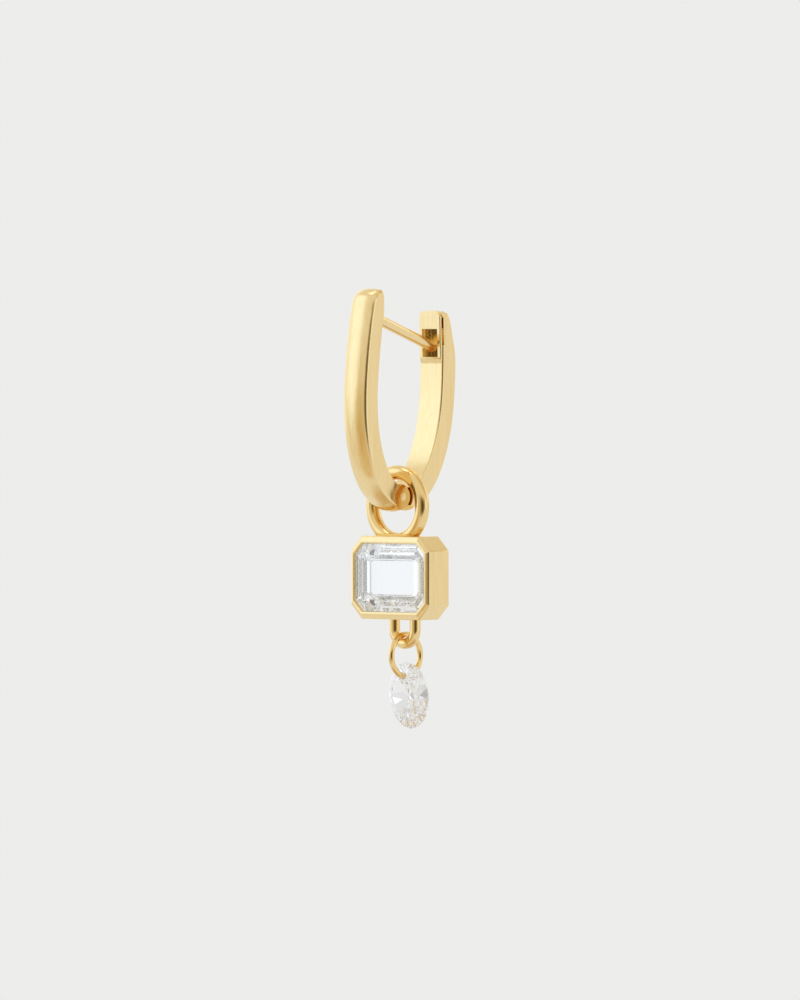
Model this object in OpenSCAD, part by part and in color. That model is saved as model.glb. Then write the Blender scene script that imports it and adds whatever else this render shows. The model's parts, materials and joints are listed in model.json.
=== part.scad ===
// Hoop charm earring. A hinged oval hoop closes on a slanting ear post. A ring hung on
// its bow carries an eight-sided setting with a step-cut stone, and a drilled oval stone
// hangs below it from a jump ring. The parts are drawn as they hang.
// X runs across the band, Y from the front of the ear to the back, and Z is up.
// The origin is the middle of the ear post.

/* [Hoop] */
// Width of the hoop from front to back, at its widest level
hoop_w = 11.5; // [10.6:0.1:13]
// Width of the band
band_w = 2.6; // [2.2:0.1:3]
// Thickness of the front arm at the widest level
front_t = 1.8; // [1.6:0.1:2.2]
// Thickness of the back arm at the widest level
back_t = 1.95; // [1.7:0.05:2.1]
// Thickness of the bow at its lowest point
bow_t = 2.05; // [1.9:0.05:2.4]
// Depth of the bow, from the widest level down to its outer face
bow_depth = 10.35; // [9:0.05:13]
// Fullness of the bow's outer curve, where 1 is an ellipse and less is squarer
bow_full = 0.95; // [0.9:0.01:1]
// Height of the front arm above the widest level, up to where its top rounds over
front_rise = 6.3; // [6.2:0.05:8]
// Height of the back arm above the widest level
back_rise = 6.7; // [6.3:0.1:6.8]
// Height at which the outer curve of the arms would close over the top
outer_close = 17; // [15:0.5:20]
// Height at which the inner curve of the front arm would close
front_close = 15; // [14:0.5:18]
// Height at which the inner curve of the back arm would close
back_close = 13.5; // [12.5:0.5:14.5]
// How far the back arm's outer face is drawn in at its top
taper_in = 1.3; // [0.8:0.05:1.3]
// Level above the widest level where that taper starts
taper_start = 2.4; // [1.5:0.1:3]
// Crown of the domed outer face
dome = 0.28; // [0.15:0.01:0.35]
// Bevel on the long edges
bevel = 0.1; // [0.06:0.01:0.14]
// Lean of the whole hoop towards the back, in degrees
hoop_tilt = 4; // [0:0.25:6]

/* [Ear post] */
// Diameter of the ear post
post_d = 0.9; // [0.7:0.05:1]
// Height of the post's root above the widest level
post_rise = 5.7; // [5.6:0.05:5.9]
// Slope of the post down towards the catch, in degrees
post_slope = 15; // [14:0.5:19]
// Length of the post inside the catch
post_reach = 0.65; // [0.45:0.05:0.75]

/* [Hinge] */
// Distance of the hinge axis in front of the hoop's middle
hinge_ahead = 0.22; // [0:0.02:0.5]
// Height of the hinge axis above the middle of the bow's thickness
hinge_up = 0.24; // [0.1:0.02:0.3]
// Diameter of the hinge knuckles
knuckle_d = 2.1; // [2:0.05:2.2]
// Width of the back arm's tongue between the knuckles
tongue_w = 1; // [0.8:0.05:1.2]
// Diameter of the hinge pin
pin_d = 0.7; // [0.6:0.05:0.9]
// Running clearance in the hinge
hinge_gap = 0.05; // [0.04:0.01:0.08]
// Angle to which the back arm opens
open_angle = 45; // [30:5:50]

/* [Catch] */
// Width of the catch block
catch_w = 2.4; // [2.1:0.05:2.5]
// How far the catch block stands in front of the arm's inner face
catch_proud = 0.2; // [0.16:0.01:0.26]
// Lean of the catch block towards the post, in degrees
catch_lean = 6; // [4:0.5:8]
// Radius of the catch block's upper corners
catch_r = 0.5; // [0.3:0.05:0.7]
// Width of the catch window
window_w = 1.7; // [1.5:0.05:1.8]
// Height of the catch window
window_h = 2.35; // [2.1:0.05:2.5]
// Height of the window's middle above the middle of the post
window_up = 0.2; // [0:0.05:0.25]
// Depth of the catch window
window_depth = 1.1; // [0.9:0.05:1.2]
// Width of the slit behind the spring leaf
slit = 0.14; // [0.12:0.01:0.18]
// Thickness of the spring leaf
leaf_t = 0.2; // [0.2:0.01:0.26]
// Height of the metal left above the slit
slit_top = 0.55; // [0.45:0.05:0.7]

/* [Charm ring] */
// Inner diameter of the charm ring
ring_d = 4.4; // [4:0.1:5.4]
// Wire of the charm ring
ring_wire = 1.2; // [1:0.05:1.4]
// Depth to which the ring is let into the setting
ring_sink = 0.9; // [0.7:0.05:1]
// How far the ring sits in front of the setting's middle
ring_ahead = 0.2; // [0:0.05:0.3]
// How far the ring hangs behind the hinge axis
ring_behind = 0.6; // [0.4:0.05:0.7]
// Gap between a ring and what it hangs on
ring_play = 0.05; // [0.04:0.01:0.08]
// Length of the solder saddle under the ring
saddle_l = 4.2; // [3.8:0.1:4.6]
// Height of the solder saddle
saddle_h = 0.2; // [0.15:0.05:0.3]

/* [Setting] */
// Width of the setting
setting_w = 8.9; // [8:0.1:10]
// Height of the setting
setting_h = 6.95; // [6:0.05:8]
// Depth of the setting from front to back
setting_t = 2.6; // [2.2:0.05:3]
// Cut of the setting's corners
corner_cut = 1.2; // [1:0.05:1.6]
// Rim beside the stone
rim_side = 0.46; // [0.4:0.01:0.6]
// Rim above and below the stone
rim_top = 0.62; // [0.5:0.01:0.8]
// Share of the rim that is flat, next to the stone
rim_flat = 0.45; // [0.3:0.05:0.6]
// Fall of the rim's outer part towards the side walls
rim_fall = 0.16; // [0.1:0.01:0.25]
// Ledge under the stone's girdle
ledge = 0.35; // [0.25:0.05:0.45]

/* [Step-cut stone] */
// Depth of the girdle below the rim
girdle_depth = 0.36; // [0.2:0.02:0.5]
// Height of the stone's crown above its girdle
crown_h = 0.36; // [0.3:0.02:0.5]
// Depth of the stone's pavilion below its girdle
pavilion_h = 1.5; // [1.2:0.05:1.6]
// Thickness of the girdle
girdle_t = 0.1; // [0.06:0.02:0.14]
// Width of the crown between girdle and table
crown_w = 1.1; // [0.9:0.05:1.3]
// Gap between a stone and its metal
stone_gap = 0.04; // [0.03:0.01:0.06]

/* [Drop loop] */
// Wire of the drop loop
loop_wire = 0.92; // [0.8:0.02:1.05]
// Clear width inside the drop loop
loop_in = 1.42; // [1.2:0.02:1.8]
// Length of the drop loop below the setting
loop_len = 2.5; // [2.2:0.05:3]
// How far the loop sits behind the setting's middle
loop_behind = 0.7; // [0.3:0.05:0.7]

/* [Jump ring] */
// Inner diameter of the jump ring
jump_d = 3; // [2.8:0.1:4]
// Wire of the jump ring
jump_wire = 0.5; // [0.4:0.02:0.56]
// Angle by which the jump ring and its stone hang back
drop_swing = 6; // [0:1:10]

/* [Drop stone] */
// Width of the drop stone
drop_w = 4.4; // [3.8:0.1:5]
// Height of the drop stone
drop_h = 5.6; // [5:0.1:7]
// Height of the drop stone's crown
drop_crown = 0.65; // [0.5:0.05:0.8]
// Depth of the drop stone's pavilion
drop_pavilion = 1.5; // [1.2:0.05:1.8]
// Thickness of the drop stone's girdle
drop_girdle = 0.14; // [0.1:0.02:0.2]
// Distance from the top of the drop stone to its hole
hole_drop = 1.1; // [1:0.05:1.5]
// Diameter of the hole through the drop stone
hole_d = 0.8; // [0.74:0.02:0.9]

/* [Hidden] */
$fn = 48;
gold = [0.93, 0.76, 0.42];
clear = [0.93, 0.96, 0.98];

// Curves of the hoop in its own side view. The first number of a point runs towards the
// back and the second upwards, both from the middle of the widest level.
outer_half = hoop_w / 2;
front_half = outer_half - front_t;
back_half = outer_half - back_t;
inner_depth = bow_depth - bow_t;
bow_steps = 16;
arm_steps = 7;
dome_steps = 8;

function arch(half, level, close) = half * sqrt(1 - pow(level / close, 2));
function outer_at(level) = arch(outer_half, level, outer_close);
function front_inner(level) = arch(front_half, level, front_close);
function back_inner(level) = arch(back_half, level, back_close);
function tapered(level) =
    level < taper_start ? 0
    : taper_in * pow((level - taper_start) / (back_rise - taper_start), 2);
function back_outer(level) = outer_at(level) - tapered(level);

// The arms meet at the hinge, which stands a little above the middle of the bow.
hinge_turn = acos(hinge_ahead / ((outer_half + front_half) / 2));
hinge_at = -[hinge_ahead, (bow_depth + inner_depth) / 2 * sin(hinge_turn) - hinge_up];

// The post runs from the front arm's inner face to the face of the catch block.
catch_face = back_inner(post_rise - 2) - catch_proud;
post_root = [-front_inner(post_rise), post_rise];
post_dir = [cos(post_slope), -sin(post_slope)];
post_span = (catch_face - post_root[0]) / post_dir[0];
post_mid = post_root + post_dir * post_span / 2;
window_at = post_root + post_dir * post_span;

// A point of the side view, as it hangs in the frame of the whole earring.
function hung(p) =
    let (q = p - post_mid)
    [q[0] * cos(hoop_tilt) + q[1] * sin(hoop_tilt),
     q[1] * cos(hoop_tilt) - q[0] * sin(hoop_tilt)];

// The charm ring rests on the outer ends of the hinge knuckles. There its wire is cut
// aslant, so that it is taller than it is thick.
ring_r = (ring_d + ring_wire) / 2;
ring_y = hung(hinge_at)[0] + ring_behind;
seat_drop = sqrt(pow(ring_r, 2) - pow(band_w / 2, 2));
seat_half = seat_drop - sqrt(pow(ring_d / 2, 2) - pow(band_w / 2, 2));
seat_rise = sqrt(pow(knuckle_d / 2 + seat_half + ring_play, 2) - pow(ring_behind, 2));
ring_z = hung(hinge_at)[1] + seat_rise - seat_drop;
setting_y = ring_y + ring_ahead;
setting_top = ring_z - ring_r - ring_wire / 2 + ring_sink;
setting_z = setting_top - setting_h / 2;
open_w = setting_w - 2 * rim_side;
open_h = setting_h - 2 * rim_top;
open_cut = corner_cut - (2 - sqrt(2)) * (rim_side + rim_top) / 2;

// The drop is worked out straight below the loop and then swung about the loop's wire.
loop_r = (loop_in + loop_wire) / 2;
loop_y = setting_y + loop_behind;
loop_low = setting_top - setting_h - loop_len;
jump_r = (jump_d + jump_wire) / 2;
jump_z = loop_low + loop_wire + ring_play + jump_wire / 2 - jump_r;
hole_len = drop_crown + drop_girdle + drop_pavilion / 2;
hole_rise = jump_r - sqrt(pow(jump_r, 2) - pow(hole_len / 2, 2));
hole_z = jump_z - jump_r + jump_wire / 2 + hole_rise + stone_gap - hole_d / 2;
drop_z = hole_z + hole_drop - drop_h / 2;

// Cuts of the stones. A row of the step-cut stone gives the share of the crown's or the
// pavilion's width that lies outside the step, and the share of its height. The shares of
// the oval brilliant are the radii of its table, its star facets and its lower facets.
crown_rows = [[0.30, 0.45], [0.65, 0.80], [1, 1]];
pavilion_rows = [[0.22, 0.30], [0.55, 0.65], [0.95, 1]];
table_share = 0.56;
star_share = 0.8;
lower_share = 0.3;

// Solid through a row of rings that have the same number of points each. The rings run
// anticlockwise as seen from the last one.
module loft(rings) {
    n = len(rings[0]);
    last = len(rings) - 1;
    sides = [for (k = [0:last - 1]) for (i = [0:n - 1])
        let (j = (i + 1) % n, a = k * n, b = a + n)
        each [[a + i, b + i, b + j], [a + i, b + j, a + j]]];
    foot = [[for (i = [0:n - 1]) i]];
    head = [[for (i = [n - 1:-1:0]) last * n + i]];
    polyhedron([for (r = rings) each r], concat(foot, sides, head));
}

// Section of the band: flat inside, bevelled edges and a domed outer face. A point gives
// the place across the band and the height above the inner face.
function band_section(t) =
    let (h = band_w / 2, e = h - bevel, r = (e * e + dome * dome) / (2 * dome),
         half_angle = asin(e / r), edge_t = t - dome - bevel)
    concat([[-e, 0], [e, 0], [h, bevel], [h, edge_t]],
           [for (i = [0:dome_steps])
               let (a = half_angle * (1 - 2 * i / dome_steps))
               [r * sin(a), t - r + r * cos(a)]],
           [[-h, edge_t], [-h, bevel]]);

// The same section set between an inner and an outer point of the side view.
function band_ring(inner, outer) =
    let (t = norm(outer - inner), d = (outer - inner) / t)
    [for (q = band_section(t)) [q[0], inner[0] + d[0] * q[1], inner[1] + d[1] * q[1]]];

// Ring of the bow at an angle below the widest level, on the front or the back side. The
// half is that side's distance from the middle to the inner face.
function fuller(share) = sign(share) * pow(abs(share), bow_full);
function bow_ring(side, half, turn) =
    band_ring([side * half * cos(turn), -inner_depth * sin(turn)],
              [side * outer_half * fuller(cos(turn)), -bow_depth * fuller(sin(turn))]);

module in_hoop() {
    rotate([-hoop_tilt, 0, 0]) translate([0, -post_mid[0], -post_mid[1]]) children();
}

// Round bar across the band, centred on a point of the side view.
module crossbar(at, d, w) {
    translate([0, at[0], at[1]]) rotate([0, 90, 0]) cylinder(d = d, h = w, center = true);
}

// The top of the front arm turns over from its outer face to its inner face.
module rounded_top() {
    t = outer_at(front_rise) - front_inner(front_rise);
    section = [for (q = band_section(t)) [q[1], q[0]]];
    translate([0, -front_inner(front_rise), front_rise])
        rotate([180, 0, 0]) rotate([0, 90, 0])
            rotate_extrude(angle = 90) polygon(section);
}

module ear_post() {
    translate([0, post_root[0], post_root[1]]) rotate([-90 - post_slope, 0, 0]) {
        translate([0, 0, -front_t / 2]) cylinder(d = post_d, h = front_t / 2 + post_span
            + post_reach - post_d / 2);
        translate([0, 0, post_span + post_reach - post_d / 2]) sphere(d = post_d);
    }
}

module front_arm() {
    rings = concat(
        [for (i = [arm_steps:-1:1])
            let (level = front_rise * i / arm_steps)
            band_ring([-front_inner(level), level], [-outer_at(level), level])],
        [for (i = [0:bow_steps]) bow_ring(-1, front_half, hinge_turn * i / bow_steps)]);
    color(gold) in_hoop() {
        difference() {
            union() {
                loft(rings);
                rounded_top();
                crossbar(hinge_at, knuckle_d, band_w);
                ear_post();
            }
            crossbar(hinge_at, knuckle_d + 2 * hinge_gap, tongue_w + 2 * hinge_gap);
        }
        crossbar(hinge_at, pin_d, band_w - 2 * bevel);
    }
}

// Block that stands in front of the back arm's top and holds the window.
module catch_block() {
    below = window_at[1] + window_up - window_h / 2;
    face_top = catch_face - tan(catch_lean) * (back_rise - window_at[1]);
    face_low = catch_face + tan(catch_lean) * (window_at[1] - below);
    root = back_inner(below) + leaf_t;
    outline = [[face_low, below - bevel], [face_top, back_rise],
               [back_inner(back_rise) + leaf_t, back_rise], [root, below - 1]];
    intersection() {
        rotate([90, 0, 90]) linear_extrude(catch_w, center = true) polygon(outline);
        rounded_upright(catch_w, below - 1, back_rise, catch_r);
    }
}

// Tall plate through the whole hoop, seen from the front with two rounded upper corners.
module rounded_upright(w, low, high, r) {
    rotate([90, 0, 0]) linear_extrude(2 * hoop_w, center = true) union() {
        translate([-w / 2, low]) square([w, high - low - r]);
        translate([-w / 2 + r, low]) square([w - 2 * r, high - low]);
        for (side = [-1, 1]) translate([side * (w / 2 - r), high - r]) circle(r);
    }
}

// Window for the post, and the slit that frees the spring leaf above its middle.
module catch_cuts() {
    leaf_back = catch_face + leaf_t;
    slit_h = back_rise - slit_top - window_at[1];
    translate([0, window_at[0], window_at[1]]) rotate([catch_lean, 0, 0]) {
        translate([-window_w / 2, -window_depth / 2, window_up - window_h / 2])
            cube([window_w, 1.5 * window_depth, window_h]);
        translate([-band_w, leaf_back - catch_face, 0]) cube([2 * band_w, slit, slit_h]);
    }
}

// Room under the hinge. As the back arm opens, the domed face behind its knuckle swings
// towards the front arm.
module hinge_relief() {
    first = -100;
    last = open_angle - 80;
    translate([0, hinge_at[0], hinge_at[1]]) rotate([90, 0, 90])
        linear_extrude(2 * band_w, center = true)
            polygon([[0, 0], for (a = [first, (first + last) / 2, last])
                2 * knuckle_d * [cos(a), sin(a)]]);
}

module back_arm() {
    rings = concat(
        [for (i = [bow_steps:-1:0])
            let (first = 180 - hinge_turn) bow_ring(1, back_half, first * i / bow_steps)],
        [for (i = [1:arm_steps])
            let (level = back_rise * i / arm_steps)
            band_ring([back_inner(level), level], [back_outer(level), level])]);
    color(gold) in_hoop() difference() {
        union() {
            difference() {
                union() {
                    loft(rings);
                    catch_block();
                }
                for (side = [-1, 1]) translate([side * (band_w + tongue_w) / 2, 0, 0])
                    crossbar(hinge_at, knuckle_d + 2 * hinge_gap, band_w);
                hinge_relief();
            }
            crossbar(hinge_at, knuckle_d, tongue_w);
        }
        crossbar(hinge_at, pin_d + 2 * hinge_gap, 2 * band_w);
        catch_cuts();
    }
}

// Rectangle with cut corners, anticlockwise.
function cut_rect(w, h, c) = [
    [w / 2 - c, -h / 2], [w / 2, c - h / 2], [w / 2, h / 2 - c], [w / 2 - c, h / 2],
    [c - w / 2, h / 2], [-w / 2, h / 2 - c], [-w / 2, c - h / 2], [c - w / 2, -h / 2]];
// The same, drawn in by an even margin and set at a height.
function step_ring(w, h, c, margin, z) =
    [for (p = cut_rect(w - 2 * margin, h - 2 * margin, c - (2 - sqrt(2)) * margin))
        [p[0], p[1], z]];

// Things of the charm are drawn lying on their backs and then stood up to face front.
module facing_front(y, z) {
    translate([0, y, z]) rotate([90, 0, 0]) children();
}

module wire_ring(r, wire, sweep = 360) {
    rotate_extrude(angle = sweep) translate([r, 0]) circle(d = wire);
}

// Walls of the setting. The seat inside them slopes like the stone's pavilion.
module setting_walls() {
    front = setting_t / 2;
    seat = front - girdle_depth - girdle_t - stone_gap;
    seat_slope = pavilion_h * pavilion_rows[0][1] / (open_h / 2 * pavilion_rows[0][0]);
    flat_w = setting_w - 2 * rim_side * (1 - rim_flat);
    flat_h = setting_h - 2 * rim_top * (1 - rim_flat);
    flat_cut = corner_cut + (open_cut - corner_cut) * (1 - rim_flat);
    outer = cut_rect(setting_w, setting_h, corner_cut);
    flat_edge = cut_rect(flat_w, flat_h, flat_cut);
    difference() {
        loft([[for (p = outer) [p[0], p[1], -front]],
              [for (p = outer) [p[0], p[1], front - rim_fall]],
              [for (p = flat_edge) [p[0], p[1], front]]]);
        loft([step_ring(open_w, open_h, open_cut, ledge, seat - ledge * seat_slope),
              step_ring(open_w, open_h, open_cut, 0, seat),
              step_ring(open_w, open_h, open_cut, 0, setting_t)]);
        translate([0, 0, -setting_t]) linear_extrude(2 * setting_t)
            polygon([for (p = step_ring(open_w, open_h, open_cut, ledge, 0)) [p[0], p[1]]]);
    }
}

// Ring, cut off inside the setting's top wall, with the saddle of solder round its foot.
module soldered_ring() {
    keep = ring_r * 4;
    wall_share = rim_top / 2;
    intersection() {
        facing_front(ring_y, ring_z) wire_ring(ring_r, ring_wire);
        translate([-keep / 2, -keep / 2, setting_top - wall_share]) cube(keep);
    }
    translate([0, ring_y, setting_top - wall_share]) linear_extrude(saddle_h + wall_share)
        union() {
            square([saddle_l - ring_wire, ring_wire], center = true);
            for (side = [-1, 1]) translate([side * (saddle_l - ring_wire) / 2, 0])
                circle(d = ring_wire);
        }
}

module drop_loop() {
    straight = loop_len - loop_r - loop_wire / 2;
    foot = setting_top - setting_h;
    facing_front(loop_y, foot - straight) rotate([0, 0, 180]) wire_ring(loop_r, loop_wire, 180);
    for (side = [-1, 1]) translate([side * loop_r, loop_y, foot - straight])
        cylinder(d = loop_wire, h = straight + rim_top / 2);
}

module charm_setting() {
    color(gold) {
        facing_front(setting_y, setting_z) setting_walls();
        soldered_ring();
        drop_loop();
    }
}

module step_cut_stone() {
    w = open_w - 2 * stone_gap;
    h = open_h - 2 * stone_gap;
    c = open_cut;
    top = setting_t / 2 - girdle_depth;
    keel_w = h / 2;
    color(clear) facing_front(setting_y, setting_z) loft(concat(
        [for (i = [len(pavilion_rows) - 1:-1:0])
            let (row = pavilion_rows[i], m = keel_w * row[0])
            [for (p = cut_rect(w - 2 * m, h - 2 * m, c * (1 - row[0])))
                [p[0], p[1], top - girdle_t - pavilion_h * row[1]]]],
        [step_ring(w, h, c, 0, top - girdle_t), step_ring(w, h, c, 0, top)],
        [for (row = crown_rows)
            let (m = crown_w * row[0])
            [for (p = cut_rect(w - 2 * m, h - 2 * m, c * (1 - row[0] / 2)))
                [p[0], p[1], top + crown_h * row[1]]]]));
}

module swung_back() {
    hang_z = loop_low + loop_wire / 2;
    translate([0, loop_y, hang_z]) rotate([drop_swing, 0, 0])
        translate([0, -loop_y, -hang_z]) children();
}

module jump_ring() {
    color(gold) swung_back() translate([0, loop_y, jump_z]) rotate([0, 90, 0])
        wire_ring(jump_r, jump_wire);
}

// Oval brilliant, lying on its back. Its rows of points go round in even steps.
function around(r, z, n, first) =
    [for (i = [0:n - 1]) let (a = first + 360 / n * i) [r * cos(a), r * sin(a), z]];
module oval_brilliant(w, h, crown, girdle, pavilion) {
    kite = cos(22.5);
    star_z = girdle / 2 + crown * (1 - star_share * kite) / (1 - table_share);
    lower_z = -girdle / 2 - pavilion * (1 - lower_share * kite);
    shape = concat(
        around(table_share, girdle / 2 + crown, 8, 0),
        around(star_share, star_z, 8, 22.5),
        around(1, girdle / 2, 16, 0),
        around(1, -girdle / 2, 16, 0),
        around(lower_share, lower_z, 8, 22.5),
        [[0, 0, -girdle / 2 - pavilion]]);
    faces = concat(
        [[for (i = [7:-1:0]) i]],
        [for (i = [0:7]) let (j = (i + 1) % 8) each [
            [i, j, 8 + i],
            [8 + i, j, 8 + j, 16 + 2 * j],
            [8 + i, 16 + 2 * j, 16 + 2 * i + 1],
            [8 + i, 16 + 2 * i + 1, 16 + 2 * i]]],
        [for (i = [0:15]) let (j = (i + 1) % 16) [16 + i, 16 + j, 32 + j, 32 + i]],
        [for (i = [0:7]) let (j = (i + 1) % 8) each [
            [32 + 2 * i, 32 + 2 * i + 1, 48 + i],
            [32 + 2 * i + 1, 32 + 2 * j, 48 + i],
            [48 + i, 32 + 2 * j, 48 + j, 56]]]);
    points = [for (p = shape) [p[0] * w / 2, p[1] * h / 2, p[2]]];
    polyhedron(points, faces);
}

module drop_stone() {
    middle = loop_y - (drop_crown - drop_pavilion / 2) / 2;
    color(clear) swung_back() difference() {
        facing_front(middle, drop_z)
            oval_brilliant(drop_w, drop_h, drop_crown, drop_girdle, drop_pavilion);
        translate([0, middle, hole_z]) rotate([90, 0, 0])
            cylinder(d = hole_d, h = drop_w, center = true);
    }
}

front_arm();
back_arm();
charm_setting();
step_cut_stone();
jump_ring();
drop_stone();
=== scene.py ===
# %% [markdown]
# # A hinged hoop earring with a charm
# The real object is made of yellow gold and two diamonds. A hinged oval hoop closes on a
# slanting ear post. A polished ring hangs on the bow of the hoop and carries an eight-sided
# setting with a step-cut stone, and a drilled oval stone hangs below it from a jump ring.
#
# The packed model gives the place and size of every part. It is loaded first and is never
# moved. Each part is then made again here as a finer mesh that stands in the same place,
# because satin gold shows every flat facet and every hard edge that a maker would round off.

# %% Load the frame
import json
import math

import bmesh
import bpy
from mathutils import Matrix, Vector


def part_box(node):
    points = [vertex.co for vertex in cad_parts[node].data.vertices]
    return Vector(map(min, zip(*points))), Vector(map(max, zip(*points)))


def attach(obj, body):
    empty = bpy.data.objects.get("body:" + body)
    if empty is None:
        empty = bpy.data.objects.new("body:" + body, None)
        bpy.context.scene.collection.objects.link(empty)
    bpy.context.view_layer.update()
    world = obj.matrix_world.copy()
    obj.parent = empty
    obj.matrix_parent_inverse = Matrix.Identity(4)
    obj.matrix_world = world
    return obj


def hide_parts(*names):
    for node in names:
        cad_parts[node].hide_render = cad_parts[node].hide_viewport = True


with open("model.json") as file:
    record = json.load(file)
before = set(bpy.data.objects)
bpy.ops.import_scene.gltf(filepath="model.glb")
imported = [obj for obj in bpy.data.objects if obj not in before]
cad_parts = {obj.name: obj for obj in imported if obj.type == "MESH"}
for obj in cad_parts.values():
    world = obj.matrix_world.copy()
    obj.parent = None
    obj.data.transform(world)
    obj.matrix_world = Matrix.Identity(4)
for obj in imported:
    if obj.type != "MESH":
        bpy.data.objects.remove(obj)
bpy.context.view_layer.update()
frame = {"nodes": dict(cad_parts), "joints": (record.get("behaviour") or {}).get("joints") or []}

for cad_node in sorted(frame["nodes"]):
    low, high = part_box(cad_node)
    print(cad_node, "measures", [round(1000 * side, 2) for side in high - low], "mm")

# %% [markdown]
# ## A bench that works in millimetres
# A jeweller thinks in millimetres, and so does this script. Meshes are made at that scale
# and shrunk to metres only when they are done, which also keeps the cutting tool exact on
# details of a few hundredths of a millimetre. The first helper turns points and faces into
# an object, with all its faces turned outwards: a piece that is inside out would spoil every
# cut. The second turns rows of points into a skin, and closes it where it is asked to.

# %% Meshes from points
def mesh_object(name, points, faces):
    """Object made of points in millimetres and faces that list them by number."""
    mesh = bpy.data.meshes.new(name)
    mesh.from_pydata([tuple(p) for p in points], [], faces)
    made = bpy.data.objects.new(name, mesh)
    bpy.context.scene.collection.objects.link(made)
    work = bmesh.new()
    work.from_mesh(mesh)
    bmesh.ops.remove_doubles(work, verts=work.verts, dist=1e-5)
    bmesh.ops.recalc_face_normals(work, faces=work.faces)
    if work.calc_volume(signed=True) < 0:
        bmesh.ops.reverse_faces(work, faces=work.faces)
    work.to_mesh(mesh)
    work.free()
    return made


def skin(name, rows, caps=True, loop=False):
    """Skin over rows that each go once round the piece and have the same number of points."""
    count = len(rows[0])
    points = [p for row in rows for p in row]
    faces = []
    for k in range(len(rows) if loop else len(rows) - 1):
        here = k * count
        there = (k + 1) % len(rows) * count
        for i in range(count):
            j = (i + 1) % count
            faces.append([here + i, here + j, there + j, there + i])
    if caps and not loop:
        faces.append(list(range(count)))
        faces.append([(len(rows) - 1) * count + i for i in range(count)])
    return mesh_object(name, points, faces)


print("bench ready:", mesh_object.__doc__)

# %% [markdown]
# ## Solder and file
# The goldsmith solders pieces together and files or drills metal away. Blender's Boolean
# modifier does both. Its manifold solver is used: every piece here is a closed skin, and that
# solver keeps it closed. Each result is made final at once, so that the next cut works on
# plain mesh, and a result without faces would stop the script here.

# %% Join and cut
def worked(piece, other, operation):
    """The piece after the other one is added to it or taken away from it."""
    step = piece.modifiers.new("work", "BOOLEAN")
    step.operation = operation
    step.solver = "MANIFOLD"
    step.object = other
    seen = piece.evaluated_get(bpy.context.evaluated_depsgraph_get())
    result = bpy.data.meshes.new_from_object(seen)
    piece.modifiers.clear()
    spent = [piece.data, other.data]
    assert result.polygons, "nothing is left of " + piece.name
    piece.data = result
    bpy.data.objects.remove(other)
    for mesh in spent:
        bpy.data.meshes.remove(mesh)
    return piece


def soldered(piece, *others):
    for other in others:
        piece = worked(piece, other, "UNION")
    return piece


def filed(piece, *others):
    for other in others:
        piece = worked(piece, other, "DIFFERENCE")
    return piece


# %% [markdown]
# ## The hoop seen from its side
# Both arms are drawn in the hoop's own side view, where a point has a distance to the back
# and a height, measured from the middle of the widest level. Below it quarter ellipses make
# the bow, the outer ones drawn a touch fuller. Above it the arms lean in slowly, as if the
# curves closed far above the ear. The sizes are those of the model, so the finished arms
# stand where its solids do.

# %% Sizes and curves of the hoop
hoop_w, band_w, front_t, back_t = 11.5, 2.6, 1.8, 1.95
bow_t, bow_depth, bow_full = 2.05, 10.35, 0.95
front_rise, back_rise, dome = 6.3, 6.7, 0.28
outer_close, front_close, back_close = 17, 15, 13.5
taper_in, taper_start = 1.3, 2.4
outer_half = hoop_w / 2
front_half, back_half = outer_half - front_t, outer_half - back_t
inner_depth = bow_depth - bow_t


def arch(half, level, close):
    return half * math.sqrt(1 - (level / close) ** 2)


def back_taper(level):
    """How far the back arm's outer face is drawn in near its top."""
    return taper_in * max(0, (level - taper_start) / (back_rise - taper_start)) ** 2


def fuller(share):
    return math.copysign(abs(share) ** bow_full, share)


def bow_outer(side, turn):
    """Outer point of the bow at a turn below the widest level; side is -1 in front."""
    return Vector((side * outer_half * fuller(math.cos(turn)),
                   -bow_depth * fuller(math.sin(turn))))


def bow_inner(side, half, turn):
    return Vector((side * half * math.cos(turn), -inner_depth * math.sin(turn)))


hinge_ahead, hinge_up = 0.22, 0.24
hinge_turn = math.acos(hinge_ahead / ((outer_half + front_half) / 2))
hinge_at = Vector((-hinge_ahead,
                   hinge_up - (bow_depth + inner_depth) / 2 * math.sin(hinge_turn)))
print("hinge axis in the side view:", [round(c, 3) for c in hinge_at], "mm")

# %% [markdown]
# ## How the hoop hangs
# The origin of the frame is the middle of the ear post, and the hoop leans a few degrees to
# the back. One helper turns a point of the side view into a point of the frame, and the
# print compares the hinge with the joint that the model declares.

# %% Ear post line and the lean of the hoop
post_rise, post_slope = 5.7, math.radians(15)
catch_proud, hoop_tilt = 0.2, math.radians(4)
catch_face = arch(back_half, post_rise - 2, back_close) - catch_proud
post_root = Vector((-arch(front_half, post_rise, front_close), post_rise))
post_dir = Vector((math.cos(post_slope), -math.sin(post_slope)))
post_span = (catch_face - post_root.x) / post_dir.x
post_mid = post_root + post_dir * post_span / 2
window_at = post_root + post_dir * post_span


def hung(across, p):
    """Point of the frame, from a place across the band and a point of the side view."""
    q = Vector(p) - post_mid
    return Vector((across,
                   q.x * math.cos(hoop_tilt) + q.y * math.sin(hoop_tilt),
                   q.y * math.cos(hoop_tilt) - q.x * math.sin(hoop_tilt)))


pin_at = hung(0, hinge_at)
declared = next(j for j in frame["joints"] if j["name"] == "hoop_hinge")["pos_m"]
miss = (pin_at / 1000 - Vector(declared)).length
print("hinge axis lies", round(1000 * miss, 4), "mm from the declared joint")

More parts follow.
